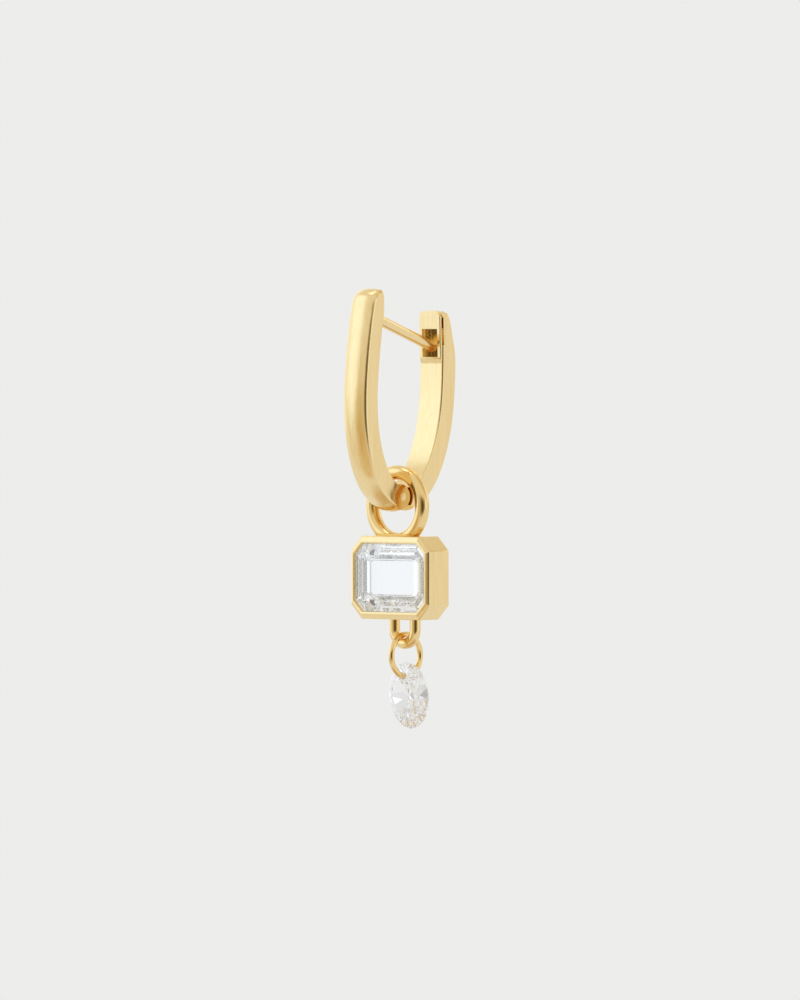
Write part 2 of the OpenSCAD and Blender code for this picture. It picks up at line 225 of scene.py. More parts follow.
# %% [markdown]
# ## A band with rounded edges
# The band is flat inside and gently domed outside, and all its long edges are rounded by
# polishing. It could be lofted along its length, but then the blunt tip would need extra
# work. Instead the outline of the side view is laid down in columns across the band, and
# each column is drawn in from the outline by the depth of the dome or of the rounded edge.
# The tip then rounds over by itself, and both side walls stay perfectly flat.

# %% Columns across the band
edge_round, inner_round, tip_round, brim_round = 0.3, 0.16, 0.6, 0.35
arm_dome, flat_dome, tip_dome, brim_dome = dome + 0.05, 1e-4, 0.3, 0.12
round_steps, dome_columns = 10, 28


def steps(count, first=0.0, last=1.0):
    """Evenly spaced values from the first one to the last one."""
    return [first + (last - first) * i / count for i in range(count + 1)]


def section_columns(rise, corner):
    """Half of a band's face with a dome of some rise and rounded edges: place and drop."""
    half = band_w / 2
    ball = (half ** 2 + rise ** 2) / (2 * rise)
    lean = math.asin((half - corner) / (ball - corner))
    centre = ball - math.sqrt((ball - corner) ** 2 - (half - corner) ** 2)
    edge = [(half - corner + corner * math.cos(a), centre - corner * math.sin(a))
            for a in steps(round_steps, 0, math.pi / 2 - lean)[:-1]]
    face = [(ball * math.sin(a), ball * (1 - math.cos(a)))
            for a in steps(dome_columns // 2, lean, 0)]
    return edge + face


def band_columns():
    """Columns across the band as they lie on its domed face, its tip, the inner brim of
    the tip and its flat face."""
    kinds = [section_columns(arm_dome, edge_round), section_columns(tip_dome, tip_round),
             section_columns(brim_dome, brim_round), section_columns(flat_dome, inner_round)]
    halves = list(zip(*kinds))
    mirrored = [tuple((-x, drop) for x, drop in column) for column in reversed(halves[:-1])]
    return halves + mirrored


def evened(outline, first, last, passes=12):
    """The outline with the kinks between two of its points smoothed away."""
    for _ in range(passes):
        moved = {i: (outline[i - 1] + outline[i] * 2 + outline[i + 1]) / 4
                 for i in range(first, last)}
        for i, p in moved.items():
            outline[i] = p
    return outline


def turn_sign(outline):
    """1 where the outline runs clockwise, so that its inside lies to the right."""
    area = sum(a.x * b.y - b.x * a.y for a, b in zip(outline, outline[1:] + outline[:1]))
    return 1 if area < 0 else -1


def band_skin(name, outline, kinds):
    """Band from a side outline that runs up its outer face, over the top and down inside.
    For each point, kinds gives its shares of the four sections."""
    rows = []
    columns = band_columns()
    last = len(outline) - 1
    sign = turn_sign(outline)
    for i, (p, shares) in enumerate(zip(outline, kinds)):
        run = (outline[min(i + 1, last)] - outline[max(i - 1, 0)]).normalized()
        inward = Vector((run.y, -run.x)) * sign
        row = []
        for column in columns:
            across = sum(share * x for share, (x, drop) in zip(shares, column))
            drop = sum(share * drop for share, (x, drop) in zip(shares, column))
            row.append(hung(across, p + inward * drop))
        rows.append(row)
    count = len(columns)
    points = [p for row in rows for p in row]
    faces = []
    for k in range(len(rows)):
        here, there = k * count, (k + 1) % len(rows) * count
        faces += [[here + i, here + i + 1, there + i + 1, there + i]
                  for i in range(count - 1)]
    for wall in (0, count - 1):
        faces.append([k * count + wall for k in range(len(rows))])
    return mesh_object(name, points, faces)


print(len(band_columns()), "columns across a band of", band_w, "mm")

# %% [markdown]
# ## Front arm: the curved bar
# The front arm rises from the hinge, passes the widest level and rolls over at the top to a
# soft thumb-like tip. Its outline follows the model's outer curve, a quarter circle over the
# top, a small round on the inner corner, and the inner curve back down to the hinge. Over
# the tip the section changes to one with a much rounder edge, and then to the flat inner
# face. Just before the hinge the maker filed a flat across the bow, which is kept here by
# leaving out the points of the curve between its two creases.

# %% Front arm bar
bow_rows, arm_rows, tip_rows, corner_rows, near_rows = 44, 32, 22, 12, 9
tip_roll, tip_corner, tip_low = 1.2, 0.49, 0.03
flat_turns = [math.radians(a) for a in (61, 61.6, 71.4, 72)]


def quarter(count):
    """Angles of a quarter turn."""
    return steps(count, 0, math.pi / 2)


def eased(share):
    share = min(1, max(0, share))
    return share * share * (3 - 2 * share)


def circle_point(centre, radius, angle):
    """Point of a circle in the side view; 0 points to the front and 90 degrees up."""
    return centre + Vector((-math.cos(angle), math.sin(angle))) * radius


def flattened(turns, ends):
    """Turns of the bow in falling order, with a flat left between the two middle ends."""
    kept = [turn for turn in turns if not ends[0] <= turn <= ends[-1]]
    return sorted(kept + list(ends), reverse=True)


def front_outline():
    inner_x = -arch(front_half, front_rise, front_close)
    top = front_rise + arch(outer_half, front_rise, outer_close) + inner_x - tip_low
    outer = [bow_outer(-1, turn)
             for turn in flattened([hinge_turn * s for s in steps(bow_rows, 1, 0)], flat_turns)]
    outer += [Vector((-arch(outer_half, z, outer_close), z))
              for z in [(top - tip_roll) * s for s in steps(arm_rows)[1:]]]
    tip = [circle_point(outer[-1] + Vector((tip_roll, 0)), tip_roll, a)
           for a in quarter(tip_rows)[1:]]
    corner = Vector((inner_x - tip_corner, top - tip_corner))
    tip += [circle_point(corner, tip_corner, math.pi / 2 + a) for a in quarter(corner_rows)]
    inner = [Vector((inner_x, corner.y + (front_rise - corner.y) * s)) for s in steps(6)[1:-1]]
    inner += [Vector((-arch(front_half, front_rise * s, front_close), front_rise * s))
              for s in steps(arm_rows, 1, 0)]
    inner += [bow_inner(-1, front_half, hinge_turn * s) for s in steps(bow_rows)[1:]]
    outline = outer + tip + inner
    tip_end = len(outer) + len(tip)
    evened(outline, len(outer) - 6, len(outer) + 6)    # where the tip starts
    evened(outline, tip_end + 2, tip_end + 10)    # where the inner line starts to curve
    kinds = []
    for i in range(len(outline)):
        past = i - len(outer)
        rolled = eased((past + near_rows) / (near_rows + 0.5 * tip_rows))
        brim = eased((past - 0.5 * tip_rows) / (0.5 * tip_rows))
        flat = eased((past - tip_rows - 0.6 * corner_rows) / (0.4 * corner_rows + near_rows))
        kinds.append((1 - rolled, rolled * (1 - brim), brim * (1 - flat), brim * flat))
    return outline, kinds


front_arm = band_skin("front_arm_gold", *front_outline())
print("front bar:", len(front_arm.data.polygons), "faces")

# %% [markdown]
# ## Turned pieces
# Pins, knuckles and posts are all round, so they come from one helper that turns a profile
# about an axis, as a lathe would. The profile lists places along the axis and radii.
# A cylinder primitive would do for the bare shape, but its edges could not be rounded as
# simply.

# %% Lathe
def turned(name, profile, start, axis, around=72):
    """Profile of (place along the axis, radius), turned about an axis from a start point."""
    axis = Vector(axis).normalized()
    side = axis.orthogonal().normalized()
    other = axis.cross(side)
    rows = []
    for place, radius in profile:
        middle = Vector(start) + axis * place
        rows.append([middle + (side * math.cos(a) + other * math.sin(a)) * radius
                     for a in steps(around, 0, math.tau)[:-1]])
    return skin(name, rows)


def rounded_bar(length, radius, edge, corner_steps=5):
    """Profile of a round bar with rounded ends."""
    start = [(edge - edge * math.cos(a), radius - edge + edge * math.sin(a))
             for a in quarter(corner_steps)]
    return start + [(length - place, r) for place, r in reversed(start)]


def crossbar(name, diameter, width, edge=0.0, middle=0.0):
    """Round bar across the band, on the hinge axis."""
    left = hung(middle - width / 2, hinge_at)
    profile = rounded_bar(width, diameter / 2, edge) if edge else [(0, diameter / 2),
                                                                 (width, diameter / 2)]
    return turned(name, profile, left, (1, 0, 0), around=96)


print("a bar with rounded ends has", len(rounded_bar(1, 1, 0.1)), "rings")

# %% [markdown]
# ## Front arm: knuckles, pin and ear post
# The lower end of the front arm is a fork of two knuckles with the hinge pin riveted through
# them. The sides of the band are stepped in there, and one rounded barrel is soldered in and
# slotted for the tongue of the back arm: two separate knuckles would need the same cuts
# twice. The ear post is soldered to the inner face near the top. Its free end is rounded, so
# that it goes in easily.

# %% Front arm fork and post
knuckle_d, tongue_w, pin_d, hinge_gap = 2.1, 1.0, 0.7, 0.05
post_d, post_reach, post_sunk, post_round = 0.9, 0.65, 0.9, 0.97
step_in, step_w, barrel_edge, rivet_in = 0.12, 0.6, 0.22, 0.1


def post_profile():
    """Ear post with a free end that is rounded to nearly a half ball."""
    radius = post_d / 2
    length = post_sunk + post_span + post_reach
    tip = [(length - radius + radius * math.sin(a), radius * math.cos(a))
           for a in steps(12, 0, post_round * math.pi / 2)]
    return [(0, radius)] + tip


slope = (hung(0, post_root + post_dir) - hung(0, post_root)).normalized()
ear_post = turned("ear_post", post_profile(), hung(0, post_root) - slope * post_sunk, slope)
for side in (-1, 1):
    filed(front_arm, crossbar("step", knuckle_d + 2 * hinge_gap, step_w,
                              middle=side * (band_w / 2 - step_in + step_w / 2)))
soldered(front_arm, crossbar("barrel", knuckle_d, band_w - 2 * step_in, edge=barrel_edge))
filed(front_arm, crossbar("slot", knuckle_d + 2 * hinge_gap, tongue_w + 2 * hinge_gap))
soldered(front_arm, crossbar("hinge_pin", pin_d, band_w - 2 * rivet_in), ear_post)
print("front arm:", len(front_arm.data.polygons), "faces")

# %% [markdown]
# ## Back arm: the curved bar
# The back arm is the same band, drawn in from behind towards its top so that it ends thin
# and smooth. Its outline runs from the hinge up the outer face, over a round heel and a
# narrow top, and down the inner face. The heel's arc starts along the lean of the outer
# face, so no crease shows. Near the top the dome is let out, because the metal is too thin
# there.

# %% Back arm bar
top_round, heel_round = 0.14, 0.60
dome_until, dome_fade = 4.4, 1.9


def back_line(z):
    """Outer line of the back arm at a height."""
    return arch(outer_half, z, outer_close) - back_taper(z)


def back_outline():
    first = math.pi - hinge_turn
    outer = [bow_outer(1, first * s) for s in steps(bow_rows, 1, 0)]
    below = back_rise - heel_round
    lean = math.atan2(back_line(below - heel_round) - back_line(below), heel_round)
    levels = [(back_rise - heel_round * (1 - math.sin(lean))) * s for s in steps(arm_rows)]
    outer += [Vector((back_line(z), z)) for z in levels[1:]]
    inner = [Vector((arch(back_half, z, back_close), z))
             for z in [(back_rise - top_round) * s for s in steps(arm_rows, 1, 0)]]
    back_corner = outer[-1] - Vector((math.cos(lean), math.sin(lean))) * heel_round
    front_corner = inner[0] + Vector((top_round, 0))
    top = [circle_point(back_corner, heel_round, a)
           for a in steps(10, math.pi - lean, math.pi / 2)[1:]]
    top += [circle_point(front_corner, top_round, a) for a in steps(6, math.pi / 2, 0)[:-1]]
    inner += [bow_inner(1, back_half, first * s) for s in steps(bow_rows)[1:]]
    domed = [1.0] * (bow_rows + 1)
    domed += [1 - eased((z - dome_until) / dome_fade) for z in levels[1:]]
    domed += [0.0] * (len(top) + len(inner))
    return outer + top + inner, [(share, 0, 0, 1 - share) for share in domed]


back_arm = band_skin("back_arm_gold", *back_outline())
print("back bar:", len(back_arm.data.polygons), "faces")
print("thickness near its top:", round(back_line(back_rise - heel_round)
                                       - arch(back_half, back_rise - heel_round, back_close), 2))

# %% [markdown]
# ## Back arm: the catch block
# A small block stands in front of the thin top and takes the post. Its face leans a little
# towards the post, its upper corners are round, and its lower end runs out into the arm. It
# is laid down in layers from the front: the first layers round the edge of the face, and
# the last one lies inside the arm.

# %% Catch block
catch_w, catch_lean, catch_r, catch_edge = 2.4, math.radians(6), 0.62, 0.09
catch_depths, below_top, sill, run_out = (0.3, 0.5), 0.01, 0.1, 2.3
window_up, window_w, window_h, window_depth = 0.2, 1.7, 2.35, 1.1
block_low = window_at.y + window_up - window_h / 2 - sill
corner_round, corner_over, past_metal = 0.6, 0.004, 1


def catch_layer(deep, drawn_in):
    """One layer of the block, at a depth behind its face, drawn in by an even margin."""
    half = catch_w / 2 - drawn_in
    corner = catch_r - drawn_in
    high = back_rise - drawn_in - below_top
    low = block_low - run_out * deep + drawn_in
    upper = [(half - corner + corner * math.cos(a), high - corner + corner * math.sin(a))
             for a in quarter(8)]
    sides = [(half, low + (high - corner - low) * s) for s in steps(12)[:-1]]
    right = sides + upper
    outline = right + [(-x, z) for x, z in reversed(right)]
    face = catch_face + math.tan(catch_lean) * window_at.y
    return [hung(x, (face + deep - math.tan(catch_lean) * z, z)) for x, z in outline]


def catch_block():
    layers = [catch_layer(catch_edge * (1 - math.sin(a)), catch_edge * (1 - math.cos(a)))
              for a in reversed(quarter(5))]
    layers += [catch_layer(deep, 0) for deep in catch_depths]
    return skin("catch_block", layers)


def top_corner(side):
    """What is filed off an upper corner of the arm, as it is seen from the front."""
    half, high = band_w / 2 + corner_over, back_rise + corner_over
    x, z = half - corner_round, high - corner_round
    arc = [(x + corner_round * math.cos(a), z + corner_round * math.sin(a))
           for a in quarter(8)]
    around = [(half + past_metal, z)] + arc + [(x, high + past_metal),
                                               (half + past_metal, high + past_metal)]
    return skin("corner", [[hung(side * x, (deep, z)) for x, z in around]
                           for deep in (catch_face - past_metal, outer_half + past_metal)])


soldered(back_arm, catch_block())
filed(back_arm, top_corner(-1), top_corner(1))
print("with its block:", len(back_arm.data.polygons), "faces")

# %% [markdown]
# ## Back arm: window, slit, tongue and bore
# The post snaps into a window in the block. A fine slit behind the face frees a thin leaf of
# metal, which springs when the post goes in. Below, the arm is filed to a tongue that fits
# between the two knuckles, with room under it for the opening swing. All of this is cut with
# plain shapes, as it is on the bench.

# %% Cutting the back arm
slit, leaf_t, slit_top, tongue_edge, side_w = 0.14, 0.2, 0.55, 0.04, 2.0
open_angle, cut_from = 45, -100    # degrees in the side view
cut_to = open_angle - 80


def slab(name, x_half, corners):
    """Straight bar across the band over a polygon of the side view."""
    return skin(name, [[hung(x, p) for p in corners] for x in (-x_half, x_half)])


def leaned(deep, up):
    """Point behind the block's face and above the middle of its mouth, along its lean."""
    c, s = math.cos(catch_lean), math.sin(catch_lean)
    return window_at + Vector((deep * c - up * s, deep * s + up * c))


def leaned_slab(name, x_half, deep, up):
    return slab(name, x_half, [leaned(deep[0], up[0]), leaned(deep[1], up[0]),
                               leaned(deep[1], up[1]), leaned(deep[0], up[1])])


window = leaned_slab("window", window_w / 2, (-past_metal, window_depth),
                     (window_up - window_h / 2, window_up + window_h / 2))
leaf_slit = leaned_slab("leaf_slit", band_w, (leaf_t, leaf_t + slit),
                        (0, back_rise - slit_top - window_at.y))
relief_turns = [math.radians(a) for a in (cut_from, (cut_from + cut_to) / 2, cut_to)]
relief = slab("relief", 2 * band_w, [hinge_at] + [
    hinge_at + Vector((math.cos(a), math.sin(a))) * 2 * knuckle_d for a in relief_turns])
recesses = [crossbar("recess", knuckle_d + 2 * hinge_gap, side_w,
                     middle=side * (tongue_w + side_w) / 2) for side in (-1, 1)]
filed(back_arm, *recesses, relief)
soldered(back_arm, crossbar("tongue", knuckle_d, tongue_w, edge=tongue_edge))
filed(back_arm, crossbar("bore", pin_d + 2 * hinge_gap, 2 * band_w), window, leaf_slit)
print("back arm:", len(back_arm.data.polygons), "faces")

# %% [markdown]
# ## Setting: an eight-sided box
# The setting is a thick-walled frame with cut corners. Its rim is flat next to the stone and
# falls away outside, and the seat slopes like the underside of the stone. The stone sits a
# tenth of a millimetre nearer to the rim's face than in the model. Eight-sided rings are
# stacked from the outer wall, over the rim, down the inside and back, and closed into a loop.
# Then Blender's bevel rounds every edge by a few hundredths of a millimetre. A box with a
# hole cut through it would do as well, but its rim would have to be filed slope by slope.

# %% Setting frame
setting_w, setting_h, setting_t, corner_cut = 8.9, 6.95, 2.6, 1.2
rim_side, rim_top, rim_flat, rim_fall, ledge = 0.46, 0.62, 0.40, 0.18, 0.35
frame_edge, least_turn = 0.07, math.radians(15)
girdle_deep, girdle_t, stone_gap = 0.24, 0.1, 0.04
ring_d, ring_wire, ring_sink = 4.4, 1.2, 0.9
ring_ahead, ring_behind, ring_play = 0.2, 0.6, 0.05
ring_r = (ring_d + ring_wire) / 2
ring_y = pin_at.y + ring_behind
seat_drop = math.sqrt(ring_r ** 2 - (band_w / 2) ** 2)
seat_half = seat_drop - math.sqrt((ring_d / 2) ** 2 - (band_w / 2) ** 2)
seat_rise = math.sqrt((knuckle_d / 2 + seat_half + ring_play) ** 2 - ring_behind ** 2)
ring_z = pin_at.z + seat_rise - seat_drop
setting_y = ring_y + ring_ahead
setting_top = ring_z - ring_r - ring_wire / 2 + ring_sink
setting_z = setting_top - setting_h / 2
open_w, open_h = setting_w - 2 * rim_side, setting_h - 2 * rim_top
stone_w, stone_h = open_w - 2 * stone_gap, open_h - 2 * stone_gap
pavilion_h, pavilion_rows = 1.62, [(0.20, 0.34), (0.38, 0.68), (0.50, 1)]
slant = 2 - math.sqrt(2)
open_cut = corner_cut - slant * (rim_side + rim_top) / 2


def cut_rect(w, h, cut):
    """Corners of a rectangle with cut corners, going round once."""
    upper = [(w / 2 - cut, h / 2), (w / 2, h / 2 - cut)]
    right = upper + [(x, -y) for x, y in reversed(upper)]
    return right + [(-x, y) for x, y in reversed(right)]


def faced(x, y, height):
    """Point of the charm drawn on its back: y points up and the height to the front."""
    return Vector((x, setting_y - height, setting_z + y))


def octagon(w, h, cut, height):
    return [faced(x, y, height) for x, y in cut_rect(w, h, cut)]


def setting_frame():
    front = setting_t / 2
    seat = front - girdle_deep - girdle_t - stone_gap
    first_margin, first_fall = pavilion_rows[0]
    seat_slope = pavilion_h * first_fall / (stone_h / 2 * first_margin)
    out = 1 - rim_flat
    flat = (setting_w - 2 * rim_side * out, setting_h - 2 * rim_top * out,
            corner_cut + (open_cut - corner_cut) * out)
    through = (open_w - 2 * ledge, open_h - 2 * ledge, open_cut - slant * ledge)
    rings = [octagon(*through, -front),
             octagon(setting_w, setting_h, corner_cut, -front),
             octagon(setting_w, setting_h, corner_cut, front - rim_fall),
             octagon(*flat, front),
             octagon(open_w, open_h, open_cut, front),
             octagon(open_w, open_h, open_cut, seat),
             octagon(*through, seat - ledge * seat_slope)]
    return skin("charm_setting_gold", rings, loop=True)


def rounded_edges(piece, width):
    """Rounds every edge of a piece that turns by more than a few degrees."""
    work = bmesh.new()
    work.from_mesh(piece.data)
    sharp = [e for e in work.edges if e.calc_face_angle(0) > least_turn]
    bmesh.ops.bevel(work, geom=sharp, offset=width, segments=3, profile=0.5,
                    affect="EDGES", clamp_overlap=True)
    work.to_mesh(piece.data)
    work.free()
    return piece


charm_setting = rounded_edges(setting_frame(), frame_edge)
print("setting frame:", len(charm_setting.data.polygons), "faces")

# %% [markdown]
# ## Setting: ring, saddle and drop loop
# A heavy polished ring is let into the top wall and soldered in a flat saddle, and a small
# loop of wire below carries the drop. Rings are swept round wire. The part of the ring that
# would stand in the stone's window is cut off before it is soldered on.

# %% Ring, saddle and loop
loop_wire, loop_in, loop_len, loop_behind = 0.92, 1.42, 2.5, 0.7
saddle_l, saddle_h, saddle_edge = 4.2, 0.2, 0.08
loop_r = (loop_in + loop_wire) / 2
loop_y = setting_y + loop_behind
loop_low = setting_top - setting_h - loop_len
wall_share = rim_top / 2


def wire_along(name, path, wire, closed=False, around=36):
    """Round wire along a path. Each path entry is a point and its outward direction."""
    rows = []
    for i, (point, outward) in enumerate(path):
        ahead = path[(i + 1) % len(path)][0] if closed or i + 1 < len(path) else point
        behind = path[i - 1][0] if closed or i else point
        across = (ahead - behind).cross(outward).normalized()
        rows.append([point + (outward * math.cos(a) + across * math.sin(a)) * wire / 2
                     for a in steps(around, 0, math.tau)[:-1]])
    return skin(name, rows, caps=not closed, loop=closed)


def ring_path(centre, radius, count, first=0.0, last=math.tau):
    """Upright circle that faces the front, as points with their outward directions."""
    turns = steps(count, first, last)
    return [(centre + Vector((math.cos(a), 0, math.sin(a))) * radius,
             Vector((math.cos(a), 0, math.sin(a)))) for a in turns]


def block(name, low, high):
    """Straight-sided block between two corners."""
    rows = [[Vector((low[0], low[1], z)), Vector((high[0], low[1], z)),
             Vector((high[0], high[1], z)), Vector((low[0], high[1], z))]
            for z in (low[2], high[2])]
    return skin(name, rows)


def charm_ring():
    centre = Vector((0, ring_y, ring_z))
    ring = wire_along("ring", ring_path(centre, ring_r, 128)[:-1], ring_wire, closed=True)
    cut_at = setting_top - wall_share
    return filed(ring, block("ring_foot", (-ring_d, ring_y - ring_wire, cut_at - ring_sink),
                             (ring_d, ring_y + ring_wire, cut_at)))


def solder_saddle():
    """Flat pad round the foot of the ring, with a rounded upper edge."""
    half_l, edge = (saddle_l - ring_wire) / 2, saddle_edge
    rows = []
    for up, drawn_in in [(-wall_share, 0)] + [
            (saddle_h - edge + edge * math.sin(a), edge * (1 - math.cos(a)))
            for a in quarter(4)]:
        r = ring_wire / 2 - drawn_in
        ends = [(side * half_l + side * r * math.cos(a), side * r * math.sin(a))
                for side in (1, -1) for a in steps(14, -math.pi / 2, math.pi / 2)]
        rows.append([Vector((x, ring_y + y, setting_top + up)) for x, y in ends])
    return skin("saddle", rows)


def drop_loop():
    foot = setting_top - setting_h
    bend = Vector((0, loop_y, foot - (loop_len - loop_r - loop_wire / 2)))
    path = ring_path(bend, loop_r, 48, math.pi, math.tau)
    rise = Vector((0, 0, foot + wall_share - bend.z))
    path = [(path[0][0] + rise, path[0][1])] + path + [(path[-1][0] + rise, path[-1][1])]
    return wire_along("loop", path, loop_wire)


soldered(charm_setting, charm_ring(), solder_saddle(), drop_loop())
print("charm setting:", len(charm_setting.data.polygons), "faces")

# %% [markdown]
# ## The step-cut stone
# A step cut is built from rows of long flat facets round a rectangular table. Its sparkle
# comes from light that bounces between exactly flat faces, so the mesh stays faceted and
# unsmoothed. Each step is an eight-sided ring like those of the setting, and the cut corners
# get narrower from step to step. The steps of the pavilion end at a broad flat base, which is
# why the middle of the stone looks clear and pale.

# %% Step-cut stone
crown_h, crown_w, crown_tall, corner_loss = 0.24, 1.1, 1.33, 1.6
crown_rows = [(0.30, 0.45), (0.65, 0.80), (1, 1)]


def step_cut_stone():
    top = setting_t / 2 - girdle_deep
    rings = []
    for margin, height in reversed(pavilion_rows):
        drawn_in = stone_h * margin
        rings.append(octagon(stone_w - drawn_in, stone_h - drawn_in,
                             open_cut * (1 - margin * corner_loss),
                             top - girdle_t - pavilion_h * height))
    rings += [octagon(stone_w, stone_h, open_cut, height) for height in (top - girdle_t, top)]
    for margin, height in crown_rows:
        rings.append(octagon(stone_w - 2 * crown_w * margin, stone_h - 2 * crown_tall * margin,
                             open_cut * (1 - margin * corner_loss / 2), top + crown_h * height))
    return skin("step_cut_diamond", rings)


step_stone = step_cut_stone()
print("step-cut stone:", len(step_stone.data.polygons), "facets")

# %% [markdown]
# ## The jump ring and the drop stone
# The drop hangs a little back from the plumb line, as it does in the photograph: everything
# below the loop is worked out straight and then turned about the wire of the loop. The jump
# ring is a circle of fine wire seen edge-on from the front. The drop is an oval brilliant
# with a table, stars, kites and halves, and a hole drilled through it near the top.

# %% Jump ring
jump_d, jump_wire, drop_swing = 3.0, 0.5, math.radians(6)
jump_r = (jump_d + jump_wire) / 2
jump_z = loop_low + loop_wire + ring_play + jump_wire / 2 - jump_r
swing_at = Vector((0, loop_y, loop_low + loop_wire / 2))


def swung(p):
    """Point of the drop after it has swung back about the wire of the loop."""
    return Matrix.Rotation(drop_swing, 3, "X") @ (Vector(p) - swing_at) + swing_at


def jump_ring_wire():
    middle = Vector((0, loop_y, jump_z))
    path = []
    for a in steps(128, 0, math.tau)[:-1]:
        outward = Vector((0, math.cos(a), math.sin(a)))
        path.append((middle + outward * jump_r, outward))
    ring = wire_along("jump_ring_gold", path, jump_wire, closed=True, around=28)
    for v in ring.data.vertices:
        v.co = swung(v.co)
    return ring


jump_ring = jump_ring_wire()
print("jump ring:", len(jump_ring.data.polygons), "faces")

# %% Drop stone
drop_w, drop_h, drop_crown, drop_pavilion, drop_girdle = 4.4, 5.6, 0.65, 1.5, 0.14
hole_drop, hole_d = 1.1, 0.8
table_share, star_share, lower_share = 0.56, 0.8, 0.3
hole_len = drop_crown + drop_girdle + drop_pavilion / 2
hole_rise = jump_r - math.sqrt(jump_r ** 2 - (hole_len / 2) ** 2)
hole_z = jump_z - jump_r + jump_wire / 2 + hole_rise + stone_gap - hole_d / 2
drop_z = hole_z + hole_drop - drop_h / 2
drop_y = loop_y - (drop_crown - drop_pavilion / 2) / 2


def oval(share, height, count, first=0.0):
    """Points of an oval of the drop stone, at a height in front of its girdle."""
    return [Vector((share * drop_w / 2 * math.cos(a), drop_y - height,
                    drop_z + share * drop_h / 2 * math.sin(a)))
            for a in steps(count, first, first + math.tau)[:-1]]


def oval_brilliant():
    half, turn = drop_girdle / 2, math.pi / 8
    kite = math.cos(turn)
    star_at = half + drop_crown * (1 - star_share * kite) / (1 - table_share)
    lower_at = -half - drop_pavilion * (1 - lower_share * kite)
    table = oval(table_share, half + drop_crown, 8)
    star = oval(star_share, star_at, 8, turn)
    upper, lower = oval(1, half, 16), oval(1, -half, 16)
    pavilion = oval(lower_share, lower_at, 8, turn)
    culet = [Vector((0, drop_y + half + drop_pavilion, drop_z))]
    points = table + star + upper + lower + pavilion + culet
    a, b, c, d, e, tip = 0, 8, 16, 32, 48, 56    # where each row of points starts
    faces = [list(range(8))]
    for i in range(8):
        j = (i + 1) % 8
        faces += [[a + i, a + j, b + i],
                  [b + i, a + j, b + j, c + 2 * j],
                  [b + i, c + 2 * j, c + 2 * i + 1],
                  [b + i, c + 2 * i + 1, c + 2 * i],
                  [d + 2 * i, d + 2 * i + 1, e + i],
                  [d + 2 * i + 1, d + 2 * j, e + i],
                  [e + i, d + 2 * j, e + j, tip]]
    faces += [[c + i, c + (i + 1) % 16, d + (i + 1) % 16, d + i] for i in range(16)]
    return mesh_object("drop_diamond", [swung(p) for p in points], faces)


def drilled(stone):
    front = swung((0, drop_y - drop_w / 2, hole_z))
    axis = swung((0, drop_y, hole_z)) - front
    return filed(stone, turned("drill", [(0, hole_d / 2), (drop_w, hole_d / 2)], front, axis,
                               around=40))


drop_stone = drilled(oval_brilliant())
print("drop stone:", len(drop_stone.data.polygons), "faces")

# %% [markdown]
# ## Even shading
# The metal is shaded smooth, apart from edges that turn sharply. Where a cut leaves a small
# sliver next to a large face, plain smoothing would bend the reflections on the large one.
# The Weighted Normal modifier lets the larger face decide, so flat walls stay flat and the
# rounded edges between them run smoothly from one to the other.

# %% Finish the meshes
MM = 0.001


def shrink_to_metres(piece):
    piece.data.transform(Matrix.Scale(MM, 4))
    return piece


def smooth_metal(piece, sharp_turn=32):
    shrink_to_metres(piece)
    piece.data.shade_smooth()
    piece.data.set_sharp_from_angle(angle=math.radians(sharp_turn))
    even = piece.modifiers.new("even_shading", "WEIGHTED_NORMAL")
    even.keep_sharp = True
    even.weight = 60
    return piece


def flat_facets(piece):
    shrink_to_metres(piece)
    piece.data.shade_flat()
    return piece


for metal in (front_arm, back_arm, charm_setting, jump_ring):
    smooth_metal(metal)
for stone in (step_stone, drop_stone):
    flat_facets(stone)
print("triangles of metal:", sum(len(p.vertices) - 2 for o in (
    front_arm, back_arm, charm_setting, jump_ring) for p in o.data.polygons))

# %% [markdown]
# ## Gold
# Yellow gold takes its colour from its reflections, so the surface is all metal and the base
# colour is pale and warm. Polishing leaves very fine lines and a faint unevenness. Two noise
# textures stand for them: a stretched one for the lines and a soft one for the waves left by
# the wheel. The lines darken the colour a little, and more in blue than in red, so that the
# streaks look like deeper gold. Both textures give a slight bump, and the lines change the
# roughness too. The Bevel node softens the edges that are left where two pieces are soldered
# together. A photograph of brushed metal could be laid over the pieces instead, but noise
# needs no picture and no unwrapping, and has no seams.
#
# First come three helpers that every material here needs.

# %% Helpers for materials
def new_material(name):
    """Material, its nodes and its links."""
    material = bpy.data.materials.new(name)
    material.use_nodes = True
    return material, material.node_tree.nodes, material.node_tree.links


def ranged(nodes, links, value, low, high, start=0.3, end=0.7, kind="LINEAR"):
    """The value between a start and an end, spread over the range from low to high."""
    spread = nodes.new("ShaderNodeMapRange")
    spread.interpolation_type = kind
    for socket, number in (("From Min", start), ("From Max", end), ("To Min", low),
                           ("To Max", high)):
        spread.inputs[socket].default_value = number
    links.new(value, spread.inputs["Value"])
    return spread.outputs["Result"]


def mixed(nodes, links, share, below, above, blend="MIX"):
    """A colour laid over another one by a share. The one below may be a node's output."""
    mix = nodes.new("ShaderNodeMix")
    mix.data_type = "RGBA"
    mix.blend_type = blend
    links.new(share, mix.inputs["Factor"])
    if isinstance(below, tuple):
        mix.inputs["A"].default_value = (*below, 1)
    else:
        links.new(below, mix.inputs["A"])
    mix.inputs["B"].default_value = (*above, 1)
    return mix.outputs["Result"]


print("helpers:", ranged.__name__, mixed.__name__)

# %% Gold finishes
line_stretch, wave_stretch, streak_tint = (5.0, 5.0, 0.3), (0.9, 0.9, 0.5), (0.5, 0.75, 1.3)


